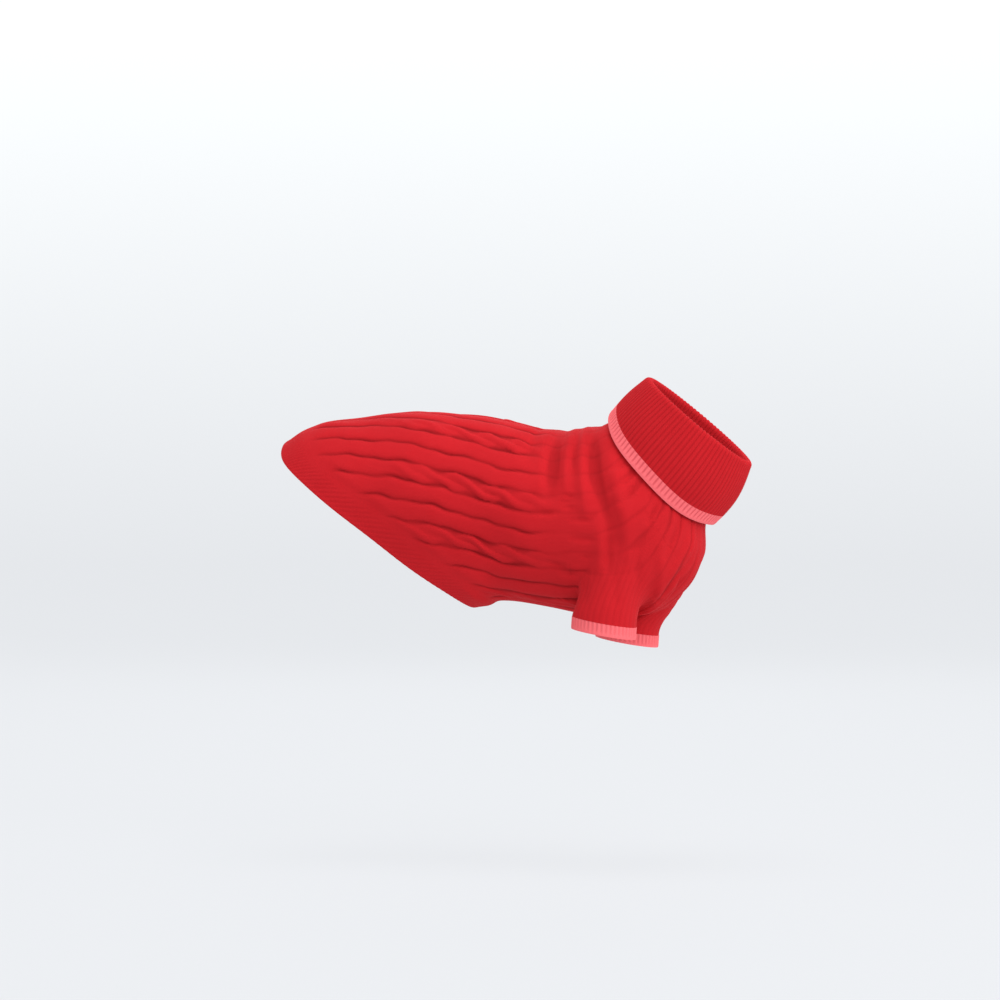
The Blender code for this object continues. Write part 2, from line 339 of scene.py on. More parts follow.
    def run(self, station: Array) -> Array:
        """The distance along the middle of the trunk from its first ring.

        Args:
            station: Stations along the trunk.

        Returns:
            The distance at each station.
        """
        centres = (self.rows[:, 0:2] + self.rows[:, 2:4]) / 2
        steps = np.linalg.norm(np.diff(centres, axis=0), axis=1)
        return np.interp(station, np.arange(len(centres)), np.concatenate([[0], np.cumsum(steps)]))


# ---------------------------------------------------------------- creases


@dataclass(frozen=True)
class SoftFold:
    """A soft ridge or trough along a line seen from the side, in millimetres."""

    line: tuple[tuple[float, float], ...]
    width: float
    height: float

    MIRROR_SHIFT = (5, -4)
    MIRROR_WIDTH = 1.1
    MIRROR_HEIGHT = 0.8
    END_FADE = 0.06

    def mirrored(self) -> "SoftFold":
        """The fold's fellow on the other side, a little lower, further forward and weaker."""
        line = tuple((x + self.MIRROR_SHIFT[0], z + self.MIRROR_SHIFT[1]) for x, z in self.line)
        return SoftFold(line, self.width * self.MIRROR_WIDTH, self.height * self.MIRROR_HEIGHT)

    def lift(self, points: Array) -> Array:
        """How far the fold raises the cloth at each point, in metres.

        Args:
            points: Places on the garment.

        Returns:
            The lift, below 0 in a trough.
        """
        flat = points[:, [0, 2]] / MM
        line = np.array(self.line, float)
        nearest = np.full(len(flat), np.inf)
        place = np.zeros(len(flat))
        steps = np.linalg.norm(np.diff(line, axis=0), axis=1)
        for index, step in enumerate(steps):
            way = (line[index + 1] - line[index]) / step
            along = np.clip((flat - line[index]) @ way, 0, step)
            away = np.linalg.norm(flat - line[index] - along[:, None] * way, axis=1)
            closer = away < nearest
            nearest = np.where(closer, away, nearest)
            place = np.where(closer, steps[:index].sum() + along, place)
        share = place / steps.sum()
        fade = np.sin(math.pi * np.clip(share, self.END_FADE, 1 - self.END_FADE)) ** 0.5
        return self.height * MM * fade * np.exp(-0.5 * (nearest / self.width) ** 2)


@dataclass(frozen=True)
class Creases:
    """Where the worn cloth bunches, from the withers down to the legs and over the breast."""

    shoulder: tuple[SoftFold, ...] = (
        SoftFold(((21, 8), (24, -10), (29, -36), (38, -60), (47, -92)), 5.2, -4.2),
        SoftFold(((12, 6), (15, -12), (18, -43), (22, -68)), 3.4, 2.4),
        SoftFold(((8, 0), (9, -34)), 2.0, -1.8),
        SoftFold(((1, 4), (1, -24), (4, -52)), 3.2, 2.2),
        SoftFold(((-9, 6), (-9, -18), (-9, -52)), 5.0, -3.0),
        SoftFold(((-20, 6), (-20, -20), (-19, -44)), 3.6, 1.4),
        SoftFold(((-30, 8), (-32, -22)), 3.0, -1.4),
        SoftFold(((43, -22), (50, -48), (57, -76), (57, -104)), 5.0, 2.4),
    )
    upper_arm: tuple[SoftFold, ...] = (
        SoftFold(((33, -84), (34, -120)), 3.6, 1.5),
        SoftFold(((41, -84), (41, -118)), 2.8, -1.4),
        SoftFold(((86, -98), (84, -124), (79, -140), (70, -154)), 3.4, 2.4),
        SoftFold(((66, -100), (68, -128), (62, -150)), 3.4, -1.3),
        SoftFold(((20, -122), (21, -152)), 3.0, -0.9),
        SoftFold(((48, -122), (47, -154)), 3.0, -0.9),
    )
    pulls: tuple[SoftFold, ...] = (
        SoftFold(((-21, -69), (-4, -69)), 1.7, -1.7),
        SoftFold(((2, -54), (11, -55)), 1.5, -1.5),
        SoftFold(((1, -59), (12, -59)), 1.4, -1.3),
        SoftFold(((3, -64), (11, -64)), 1.4, -1.2),
        SoftFold(((10, -75), (25, -75), (31, -68)), 1.6, -1.6),
        SoftFold(((10, -91), (31, -92)), 1.7, -1.6),
        SoftFold(((-14, -112), (5, -115)), 1.9, -1.6),
        SoftFold(((17, -107), (26, -107)), 1.5, -1.2),
        SoftFold(((-1, -122), (13, -123)), 1.7, -1.3),
        SoftFold(((44, -50), (56, -42), (64, -33)), 2.0, -2.3),
        SoftFold(((53, -60), (61, -50), (67, -40)), 2.0, -2.5),
        SoftFold(((40, -33), (55, -26)), 1.8, -1.4),
        SoftFold(((76, -76), (80, -68), (84, -60)), 1.8, -1.9),
    )
    breast: tuple[SoftFold, ...] = (
        SoftFold(((101, -72), (97, -88), (88, -106)), 2.1, -1.9),
        SoftFold(((106, -82), (102, -98), (94, -113)), 2.1, -2.0),
        SoftFold(((110, -106), (101, -119), (86, -136), (79, -144)), 2.5, -2.9),
        SoftFold(((99, -115), (88, -131), (76, -143)), 2.6, 1.9),
    )
    belly: tuple[SoftFold, ...] = (
        SoftFold(((-92, -138), (-74, -152)), 3.0, 1.4),
        SoftFold(((-70, -126), (-40, -132), (-8, -136)), 3.0, -1.2),
    )
    side_blend: float = 6 * MM
    # Painted shade in the crease troughs: its strongest, and the depths where it starts and where it is
    # full.
    darkest: float = 0.4
    shaded_depths: tuple[float, float] = (0.8 * MM, 3.0 * MM)
    unevenness: tuple[Wave, ...] = (
        Wave(0.45, (13, 29, math.inf), 0.7),
        Wave(0.40, (21, math.inf, -17), 2.1),
        Wave(0.30, (math.inf, 11, 23), 4.0),
    )

    def lift(self, points: Array) -> Array:
        """How far the creases raise the cloth at each point, in metres.

        Args:
            points: Places on the garment.

        Returns:
            The lift, below 0 in a trough.
        """
        total = np.zeros(len(points))
        right = smooth_step(-points[:, 1], -self.side_blend, self.side_blend)
        for fold in self.shoulder + self.upper_arm + self.pulls + self.breast + self.belly:
            total += right * fold.lift(points)
            total += (1 - right) * fold.mirrored().lift(points)
        return total + self.slack(points)

    def shade(self, lift: Array) -> Array:
        """The shade painted into the creases' troughs, by their height."""
        return self.darkest * smooth_step(-lift, *self.shaded_depths)

    def slack(self, points: Array) -> Array:
        """Slow, shallow unevenness of cloth that nothing pulls quite flat.

        Args:
            points: Places on the garment.

        Returns:
            The lift, which may be below 0.
        """
        return sum(wave.at(*(points / MM).T) for wave in self.unevenness) * MM


# ---------------------------------------------------------------- stitches


@dataclass(frozen=True)
class CableStitch:
    """The back's pattern across the cloth: a rope cable and two plain ribs, over and over."""

    repeat: float = 51 * MM
    first_rope: float = -13.5 * MM
    rope_half_width: float = 8.0 * MM
    strand_half_width: float = 4.1 * MM
    half_twist: float = 32 * MM
    rope_height: float = 2.7 * MM
    rib_height: float = 2.0 * MM
    ground: float = -0.9 * MM
    squareness: float = 3.4
    under_strand: float = 0.68
    rope_rib: float = 0.5
    stagger: float = 9 * MM

    def rib(self, share: Array, height: float) -> Array:
        """A broad rib with a narrow furrow on each side. share is 0 at its crest and 1 at its edge."""
        return height * (1 - np.clip(np.abs(share), 0, 1) ** self.squareness)

    def rope(self, across: Array, run: Array) -> Array:
        """Two strands that twist round each other.

        Args:
            across: The distance from the rope's middle.
            run: The distance along the rope.

        Returns:
            The rope's height.
        """
        turn = math.pi * run / self.half_twist
        swing = self.rope_half_width - self.strand_half_width
        height = np.zeros(len(across))
        for sign in (1, -1):
            away = (across - sign * swing * np.cos(turn)) / self.strand_half_width
            over = self.under_strand + (1 - self.under_strand) * sign * np.sin(turn)
            strand = np.sqrt(np.clip(1 - away**2, 0, 1)) * over
            height = np.maximum(height, self.rope_height * strand)
        rib = self.rib(across / self.rope_half_width, self.rib_height)
        return np.maximum(height, self.rope_rib * rib)

    def height(self, column: Array, run: Array, twisting: Array) -> Array:
        """The pattern's height over the cloth.

        Args:
            column: The distance across the columns of stitches.
            run: The distance along them.
            twisting: From 0, where a rope lies as a plain rib, to 1.

        Returns:
            The height, below 0 in the furrows.
        """
        place = (column - self.first_rope + self.rope_half_width) % self.repeat
        number = np.floor((column - self.first_rope + self.rope_half_width) / self.repeat)
        rope_width = 2 * self.rope_half_width
        rib_width = (self.repeat - rope_width) / 2
        on_rope = place < rope_width
        rib_share = 2 * (((place - rope_width) % rib_width) / rib_width) - 1
        plain = self.rib(rib_share, self.rib_height)
        across = place - self.rope_half_width
        rope_as_rib = self.rib(across / self.rope_half_width, self.rib_height)
        rope = self.rope(across, run + self.stagger * number)
        twisted = rope_as_rib + (rope - rope_as_rib) * twisting
        return np.where(on_rope, twisted, plain) + self.ground


@dataclass(frozen=True)
class TrunkKnit:
    """The trunk's stitches: cables over the back and flanks, plain ribs under the belly."""

    trunk: Trunk = Trunk()
    cables: CableStitch = CableStitch()
    belly_rib: float = 13.5 * MM
    belly_height: float = 1.5 * MM
    belly_ground: float = 0.7
    belly_start: float = math.radians(150)
    belly_full: float = math.radians(168)
    stretched: float = 0.16
    breast_strength: float = 0.4
    lean: float = 0.21
    lean_start: float = 33 * MM
    lean_length: float = 172 * MM
    wander_runs: tuple[float, float] = (20 * MM, 70 * MM)
    twist_runs: tuple[float, float] = (95 * MM, 165 * MM)
    least_twist: float = 0.12
    furrow_depths: tuple[float, float] = (-0.45 * MM, 0.75 * MM)
    bend: Wave = Wave(2.2, (15 * MM,))
    long_wander: Wave = Wave(0.9 * MM, (9 * MM, 1))
    short_wander: Wave = Wave(0.5 * MM, (4.3 * MM, 7 * MM, 1))
    wear: float = 0.84
    long_wear: Wave = Wave(0.20, (13 * MM, 9 * MM))
    short_wear: Wave = Wave(0.14, (7 * MM, -21 * MM), 1.0)
    shoulder_x: tuple[float, float] = (-42, -8)
    shoulder_z: tuple[float, float] = (-132, -108)
    breast_x: tuple[float, float] = (45, 90)

    def column(self, station: Array, angle: Array) -> Array:
        """The distance across the columns of stitches, which lean a little down the flank.

        Args:
            station: Stations along the trunk.
            angle: Angles from the spine, positive on the wearer's left.

        Returns:
            The signed distance from the column on the spine.
        """
        arc = np.abs(self.trunk.arc(np.minimum(station, self.trunk.girth_station), angle))
        run = self.trunk.run(station)
        leaning = self.lean * np.clip(run - self.lean_start, 0, self.lean_length)
        side = np.sign(angle)
        wander = self.long_wander.at(run, self.bend.at(arc) + side)
        wander += self.short_wander.at(run, arc, 2 * side)
        return side * (arc - leaning) + wander * smooth_step(run, *self.wander_runs)

    def worn(self, station: Array, angle: Array, column: Array) -> Array:
        """The stitches' strength, uneven everywhere and less where the shoulder stretches them.

        Args:
            station: Stations along the trunk.
            angle: Angles from the spine, positive on the wearer's left.
            column: The distance across the columns, as column gives it.

        Returns:
            The strength, 1 where the stitches stand at their full height.
        """
        run = self.trunk.run(station)
        x, _, z = (self.trunk.point(station, angle) / MM).T
        shoulder = smooth_step(x, *self.shoulder_x) * smooth_step(z, *self.shoulder_z)
        uneven = self.wear + self.long_wear.at(run, column) + self.short_wear.at(run, column)
        breast = smooth_step(x, *self.breast_x)
        stretched = self.stretched + (self.breast_strength - self.stretched) * breast
        return uneven * (1 - (1 - stretched) * shoulder)

    def stitches(self, station: Array, angle: Array) -> tuple[Array, Array]:
        """The stitches' height over the cloth and how far into a furrow each point lies, which sets the
        painted shade there.

        Args:
            station: Stations along the trunk.
            angle: Angles from the spine, positive on the wearer's left, within half a turn.

        Returns:
            The height, below 0 in the furrows, and the depth in the furrow from 0 to 1.
        """
        run = self.trunk.run(station)
        column = self.column(station, angle)
        twisting = self.least_twist + (1 - self.least_twist) * smooth_step(run, *self.twist_runs)
        cabled = self.cables.height(column, run, twisting)
        girth = np.minimum(station, self.trunk.girth_station)
        half = self.trunk.arc(girth, np.full(len(angle), math.pi))
        from_middle = half - np.abs(self.trunk.arc(girth, angle))
        share = 2 * ((from_middle / self.belly_rib + 0.5) % 1.0) - 1
        plain = self.cables.rib(share, self.belly_height) + self.belly_ground * self.cables.ground
        under = smooth_step(np.abs(angle), self.belly_start, self.belly_full)
        height = cabled + (plain - cabled) * under
        worn = self.worn(station, angle, column)
        # This furrow depth is later painted into the colour as shade.
        depth = smooth_step(-height, *self.furrow_depths) * np.minimum(worn * 1.1, 1)
        return height * worn, depth

    def chart(self, station: Array, angle: Array) -> Array:
        """Distances across and along the columns of stitches."""
        arc = self.trunk.arc(np.minimum(station, self.trunk.girth_station), angle)
        return np.stack([arc, self.trunk.run(station)], axis=1)


def within_half_turn(angle: Array) -> Array:
    """The same angles, between half a turn to the right and half a turn to the left."""
    return (angle + math.pi) % TURN - math.pi


@dataclass(frozen=True)
class YarnFinish:
    """Knitted yarn: its colours, with the dark colour that paints shade into its furrows, and the size of
    one stitch.
    """

    name: str
    colour: tuple[float, float, float]
    # The dark colour of painted shade in furrows, creases and between stitches; the slow drift also darkens
    # towards it at random.
    furrow: tuple[float, float, float]
    bloom: tuple[float, float, float]
    wale: float = 2.3 * MM
    course: float = 1.7 * MM
    relief: float = 0.5 * MM
    strength: float = 0.25
    roughness: float = 0.88
    gloss: float = 0.12
    fuzz: float = 0.12
    fuzz_roughness: float = 0.45
    # How far painted shade darkens the low parts between the stitches' legs.
    between: float = 0.2
    # How far the furrow attribute's painted shade darkens the colour.
    furrow_shade_strength: float = 0.85
    mottle: float = 0.30
    mottle_scale: float = 95
    drift: float = 0.30
    drift_scale: float = 14
    fibre: float = 0.35
    fibre_scale: float = 1500
    leg_slant: float = 1.5
    leg_roundness: float = 0.6
    beat: float = 0.26

    def material(self) -> bpy.types.Material:
        """Makes the finish's material, with its stitches on the cloth's own map and painted shade between
        the stitches' legs and in the furrows and creases.

        Returns:
            The material.
        """
        material = bpy.data.materials.new(self.name)
        material.use_nodes = True
        nodes = Nodes(material)
        shader = nodes.tree.nodes["Principled BSDF"]
        shader.inputs["Roughness"].default_value = self.roughness
        shader.inputs["Specular IOR Level"].default_value = self.gloss
        shader.inputs["Sheen Weight"].default_value = self.fuzz
        shader.inputs["Sheen Roughness"].default_value = self.fuzz_roughness
        shader.inputs["Sheen Tint"].default_value = (*self.bloom, 1)
        stitch = self.stitches(nodes)
        mottle = nodes.noise(self.mottle_scale, 3, nodes.object_place())
        drift = nodes.noise(self.drift_scale, 2, nodes.object_place())
        # The furrow attribute holds painted shade from furrows, creases and ribs.
        depth = nodes.attribute("furrow")
        light = nodes.mix(self.colour, self.bloom_shade(), nodes.scaled(mottle, self.mottle, 0.0))
        # The slow drift darkens the tone at random.
        shaded = nodes.mix(light, self.furrow, nodes.scaled(drift, self.drift, -0.02))
        # Painted shade between the stitches' legs.
        between = nodes.math("MULTIPLY", nodes.math("SUBTRACT", 1.0, stitch), self.between)
        with_stitch_shade = nodes.mix(shaded, self.furrow, between)
        # Painted shade in furrows, creases and rib troughs.
        with_furrow_shade = nodes.mix(with_stitch_shade, self.furrow, nodes.math("MULTIPLY", depth, self.furrow_shade_strength))
        nodes.link(with_furrow_shade, shader.inputs["Base Color"])
        fibre = nodes.noise(self.fibre_scale, 2, nodes.object_place())
        height = nodes.math("ADD", stitch, nodes.scaled(fibre, self.fibre, 0.0))
        nodes.link(nodes.bump(height, self.strength, self.relief), shader.inputs["Normal"])
        return material

    def bloom_shade(self) -> tuple[float, float, float]:
        """The yarn's colour where light catches loose fibre."""
        return tuple(c + self.fuzz * (b - c) for c, b in zip(self.colour, self.bloom))

    def stitches(self, nodes: "Nodes") -> bpy.types.NodeSocket:
        """The height of each knit stitch, a V of two slanted legs, from 0 to 1.

        Args:
            nodes: The material's nodes.

        Returns:
            The socket that carries the height.
        """
        across, along = nodes.cloth_place()
        wale = nodes.math("FRACT", nodes.math("DIVIDE", across, self.wale))
        away = nodes.math("ABSOLUTE", nodes.math("SUBTRACT", wale, 0.5))
        leg = nodes.math("SINE", nodes.math("MULTIPLY", away, TURN))
        slant = nodes.math("MULTIPLY", away, self.leg_slant)
        course = nodes.math("SUBTRACT", nodes.math("DIVIDE", along, self.course), slant)
        beat = nodes.math("COSINE", nodes.math("MULTIPLY", course, TURN))
        round_leg = nodes.math("POWER", nodes.math("MAXIMUM", leg, 0.0), self.leg_roundness)
        return nodes.math("MULTIPLY", round_leg, nodes.scaled(beat, self.beat, 1 - self.beat))


# Each yarn's second colour is the dark colour of its painted shade.
RED_YARN = YarnFinish("red_yarn", (0.565, 0.0105, 0.016), (0.19, 0.002, 0.004), (1.0, 0.10, 0.12))
CORAL_YARN = YarnFinish(
    "coral_yarn", (0.89, 0.155, 0.17), (0.52, 0.052, 0.064), (1.0, 0.45, 0.45), between=0.12
)


class Nodes:
    """Short ways to add and join shader nodes in one material."""

    def __init__(self, material: bpy.types.Material) -> None:
        """Starts on a material's own tree."""
        self.tree = material.node_tree

    def link(self, source: object, target: bpy.types.NodeSocket) -> None:
        """Joins a socket to an input, or sets the input where source is a plain value.

        Args:
            source: A socket, a colour or a number.
            target: The input.
        """
        if isinstance(source, bpy.types.NodeSocket):
            self.tree.links.new(source, target)
        elif isinstance(source, tuple):
            target.default_value = (*source, 1)
        else:
            target.default_value = source

    def math(self, operation: str, first: object, second: object = 0.0) -> bpy.types.NodeSocket:
        """The result of one Math node.

        Args:
            operation: The node's operation.
            first: Its first value.
            second: Its second value.

        Returns:
            The node's output.
        """
        node = self.tree.nodes.new("ShaderNodeMath")
        node.operation = operation
        self.link(first, node.inputs[0])
        self.link(second, node.inputs[1])
        return node.outputs[0]

    def scaled(self, value: object, scale: float, offset: float) -> bpy.types.NodeSocket:
        """A value times scale, plus offset."""
        return self.math("ADD", self.math("MULTIPLY", value, scale), offset)

    def mix(self, first: object, second: object, share: object) -> bpy.types.NodeSocket:
        """A colour between two others.

        Args:
            first: The colour where share is 0.
            second: The colour where share is 1.
            share: The share of the second colour.

        Returns:
            The node's output.
        """
        node = self.tree.nodes.new("ShaderNodeMix")
        node.data_type = "RGBA"
        self.link(share, node.inputs["Factor"])
        self.link(first, node.inputs["A"])
        self.link(second, node.inputs["B"])
        return node.outputs["Result"]

    def noise(self, scale: float, detail: float, place: object) -> bpy.types.NodeSocket:
        """The strength of a noise pattern.

        Args:
            scale: How many times the pattern varies in a metre.
            detail: How many finer patterns are added.
            place: The place.

        Returns:
            The node's output.
        """
        node = self.tree.nodes.new("ShaderNodeTexNoise")
        node.inputs["Scale"].default_value = scale
        node.inputs["Detail"].default_value = detail
        self.link(place, node.inputs["Vector"])
        return node.outputs["Fac"]

    def attribute(self, name: str) -> bpy.types.NodeSocket:
        """A number kept on the cloth's own points.

        Args:
            name: The attribute's name.

        Returns:
            The node's output.
        """
        node = self.tree.nodes.new("ShaderNodeAttribute")
        node.attribute_name = name
        return node.outputs["Fac"]

    def object_place(self) -> bpy.types.NodeSocket:
        """The place on the object, in metres."""
        return self.tree.nodes.new("ShaderNodeTexCoord").outputs["Object"]

    def height(self, place: object) -> bpy.types.NodeSocket:
        """The height of a place.

        Args:
            place: The place.

        Returns:
            The node's output.
        """
        split = self.tree.nodes.new("ShaderNodeSeparateXYZ")
        self.link(place, split.inputs["Vector"])
        return split.outputs["Z"]

    def cloth_place(self) -> tuple[bpy.types.NodeSocket, bpy.types.NodeSocket]:
        """The distances across and along the columns of stitches, in metres.

        Returns:
            The sockets that carry the two distances.
        """
        node = self.tree.nodes.new("ShaderNodeUVMap")
        node.uv_map = ClothPiece.MAP
        split = self.tree.nodes.new("ShaderNodeSeparateXYZ")
        self.link(node.outputs["UV"], split.inputs["Vector"])
        return split.outputs["X"], split.outputs["Y"]

    def bump(self, height: object, strength: float, distance: float) -> bpy.types.NodeSocket:
        """A normal tilted by a height.

        Args:
            height: The height of the surface.
            strength: The share of the tilt that is kept.
            distance: The height where height is 1, in metres.

        Returns:
            The node's output.
        """
        node = self.tree.nodes.new("ShaderNodeBump")
        node.inputs["Strength"].default_value = strength
        node.inputs["Distance"].default_value = distance
        self.link(height, node.inputs["Height"])
        return node.outputs["Normal"]


# ---------------------------------------------------------------- pieces of cloth


@dataclass
class ClothPiece(ABC):
    """A piece of cloth: a grid with shares across and along from 0 to 1, laid on a form."""

    finish: bpy.types.Material
    name: str
    slot: str
    wall: float
    columns: int
    rows: int
    flat: tuple[float, float]
    area: float
    held: str = "stretched"
    closed: bool = True
    form_side: float = -1.0

    MAP = "stitches"
    STEP = 1e-4
    GAP = 0.03 * MM
    JOIN = 0.02 * MM
    SHARP_ANGLE = math.radians(66)

    @abstractmethod
    def place(self, across: Array, along: Array) -> Array:
        """Points of the piece's form at these shares."""

    @abstractmethod
    def relief(self, across: Array, along: Array, points: Array) -> tuple[Array, Array]:
        """How far the cloth rises at these shares, and how much shade is painted there, from 0 to 1."""

    @abstractmethod
    def lay(self, across: Array, along: Array) -> Array:
        """Distances across and along the columns of stitches, in metres."""

    def normals(self, across: Array, along: Array) -> Array:
        """Normals of the form at these shares.

        Args:
            across: Shares across the piece, from 0 to 1.
            along: Shares along the piece, from 0 to 1.

        Returns:
            The normals, each a metre long.
        """
        low, high = np.clip(along - self.STEP, 0, 1), np.clip(along + self.STEP, 0, 1)
        slope_across = self.place(across + self.STEP, along) - self.place(across - self.STEP, along)
        slope_along = self.place(across, high) - self.place(across, low)
        return unit(np.cross(slope_across, slope_along))

    def build(self) -> bpy.types.Object:
        """Returns:
            The finished piece.
        """
        grid = bmesh.new()
        bmesh.ops.create_grid(grid, x_segments=self.columns, y_segments=self.rows, size=0.5)
        bmesh.ops.translate(grid, verts=grid.verts, vec=(0.5, 0.5, 0))
        mesh = bpy.data.meshes.new(self.name)
        grid.to_mesh(mesh)
        grid.free()
        self.shape(mesh)
        if self.closed:
            self.join_edges(mesh)
        piece = bpy.data.objects.new(self.name, mesh)
        bpy.context.scene.collection.objects.link(piece)
        mesh.materials.append(self.finish)
        mesh.shade_smooth()
        self.thicken(piece)
        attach(piece, "root")
        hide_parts(self.name)
        LOG.info("%s: %d faces", self.name, len(piece.data.polygons))
        return piece

    def thicken(self, piece: bpy.types.Object) -> None:
        """Gives the piece its wall, with a crisp edge where the cloth ends.

        Args:
            piece: The piece, still a single surface.
        """
        shell = piece.modifiers.new("wall", "SOLIDIFY")
        shell.thickness = self.wall
        shell.offset = self.form_side
        depsgraph = bpy.context.evaluated_depsgraph_get()
        sheet = piece.data
        piece.data = bpy.data.meshes.new_from_object(
            piece.evaluated_get(depsgraph), preserve_all_data_layers=True, depsgraph=depsgraph
        )
        piece.data.name = self.name
        piece.modifiers.clear()
        bpy.data.meshes.remove(sheet)
        piece.data.set_sharp_from_angle(angle=self.SHARP_ANGLE)

    def shape(self, mesh: bpy.types.Mesh) -> None:
        """Lays the flat grid on the form and keeps its map and the painted shade of its furrows, creases
        and ribs.

        Args:
            mesh: The grid, from 0 to 1 in x and y.
        """
        count = len(mesh.vertices)
        flat = np.empty(count * 3)
        mesh.vertices.foreach_get("co", flat)
        across, along = flat.reshape(-1, 3)[:, 0], flat.reshape(-1, 3)[:, 1]
        points, normals = self.place(across, along), self.normals(across, along)
        lift, shade = self.relief(across, along, points)
        raised = points + lift[:, None] * normals
        mesh.vertices.foreach_set("co", raised.ravel())
        # The furrow attribute carries the painted shade to the material.
        depth = mesh.attributes.new("furrow", "FLOAT", "POINT")
        depth.data.foreach_set("value", np.clip(shade, 0, 1))
        corners = np.empty(len(mesh.loops), np.int32)
        mesh.loops.foreach_get("vertex_index", corners)
        chart = mesh.uv_layers.new(name=self.MAP)
        chart.data.foreach_set("uv", self.lay(across, along)[corners].ravel())

    def join_edges(self, mesh: bpy.types.Mesh) -> None:
        """Joins the first and last columns of a piece that goes all the way round.

        Args:
            mesh: The piece's mesh.
        """
        tube = bmesh.new()
        tube.from_mesh(mesh)
        ends = [v for v in tube.verts if any(e.is_boundary for e in v.link_edges)]
        bmesh.ops.remove_doubles(tube, verts=ends, dist=self.JOIN)
        tube.to_mesh(mesh)
        tube.free()


@dataclass
class TrunkPanel(ClothPiece):
    """A panel of the trunk, from the hem band to the neck seam."""

    knit: TrunkKnit = TrunkKnit()
    creases: Creases = Creases()
    closed: bool = False
    seam_side: int = -1
    seam_angle_hem: float = math.radians(143)
    seam_angle_neck: float = math.radians(128)
    rear_share: float = 0.56
    arm_share: float = 0.88
    hem_ease: tuple[float, float] = (1 * MM, 18 * MM)

    @abstractmethod
    def angle(self, across: Array, seam: Array) -> Array:
        """The angle round the trunk at each share across, where the seam lies at seam."""

    def spot(self, across: Array, along: Array) -> tuple[Array, Array]:
        """Stations and angles at these shares.

        Args:
            across: Shares across the piece, from 0 to 1.
            along: Shares along the piece, from 0 to 1.

        Returns:
            The stations, and the angles within half a turn.
        """
        trunk = self.knit.trunk
        rear = np.clip(along / self.rear_share, 0, 1)
        arm = np.clip((along - self.rear_share) / (self.arm_share - self.rear_share), 0, 1)
        front = np.clip((along - self.arm_share) / (1 - self.arm_share), 0, 1)
        turn = math.pi * (1 - arm)
        seam = (
            trunk.armhole_angle
            + (self.seam_angle_hem - trunk.armhole_angle) * (1 - rear) ** 2
            + (self.seam_angle_neck - trunk.armhole_angle) * front
            + self.seam_side * trunk.armhole_spread * np.sin(turn)
            + self.seam_side * self.GAP / 2 / trunk.girth_radius
        )
        angle = self.angle(across, seam)
        first = trunk.hem_station(angle, trunk.hem_band + self.GAP)
        arm_rear = trunk.armhole_station - trunk.armhole_reach
        arm_front = trunk.armhole_station + trunk.armhole_reach
        station = np.where(
            along <= self.rear_share,
            first + (arm_rear - first) * rear,
            trunk.armhole_station + trunk.armhole_reach * np.cos(turn),
        )
        station = np.where(front > 0, arm_front + (trunk.neck_station - arm_front) * front, station)
        return station, within_half_turn(angle)

    def place(self, across: Array, along: Array) -> Array:
        """Points of the panel's form at these shares."""
        return self.knit.trunk.point(*self.spot(across, along))

    def relief(self, across: Array, along: Array, points: Array) -> tuple[Array, Array]:
        """The trunk's stitches, which start a little way from the hem band, and the creases, with painted
        shade in their furrows and troughs.

        Args:
            across: Shares across the piece, from 0 to 1.
            along: Shares along the piece, from 0 to 1.
            points: The same places on the piece's form.

        Returns:
            The height over the form, and the painted shade from 0 to 1.
        """
        station, angle = self.spot(across, along)
        trunk = self.knit.trunk
        hem = trunk.hem_station(angle, trunk.hem_band)
        from_hem = trunk.run(station) - trunk.run(hem)
        ease = smooth_step(from_hem, *self.hem_ease)
        stitches, shade = self.knit.stitches(station, angle)
        creases = self.creases.lift(points)
        # Painted shade: the stitches' furrow depth and the creases' troughs.
        return stitches * ease + creases, shade * ease + self.creases.shade(creases)

    def lay(self, across: Array, along: Array) -> Array:
        """Distances across and along the columns of stitches, in metres."""
        return self.knit.chart(*self.spot(across, along))


@dataclass
class BackPanel(TrunkPanel):
    """The cable-knit panel over the spine and both flanks."""

    name: str = "back_panel"
    slot: str = "red_knit"
    wall: float = 2.4 * MM
    columns: int = 236
    rows: int = 200
    flat: tuple[float, float] = (0.38, 0.31)
    area: float = 0.092

    def angle(self, across: Array, seam: Array) -> Array:
        """The angle from the left seam, over the spine, to the right seam."""
        return (1 - 2 * across) * seam


@dataclass
class ChestPanel(TrunkPanel):
    """The ribbed panel under the belly, between the legs and up the breast."""

    name: str = "chest_panel"
    slot: str = "red_knit"
    wall: float = 2.4 * MM
    columns: int = 80
    rows: int = 200
    flat: tuple[float, float] = (0.115, 0.26)
    area: float = 0.0205
    seam_side: int = 1

    def angle(self, across: Array, seam: Array) -> Array:
        """The angle from the right seam, under the belly, to the left seam."""
        return -(seam + across * 2 * (math.pi - seam))


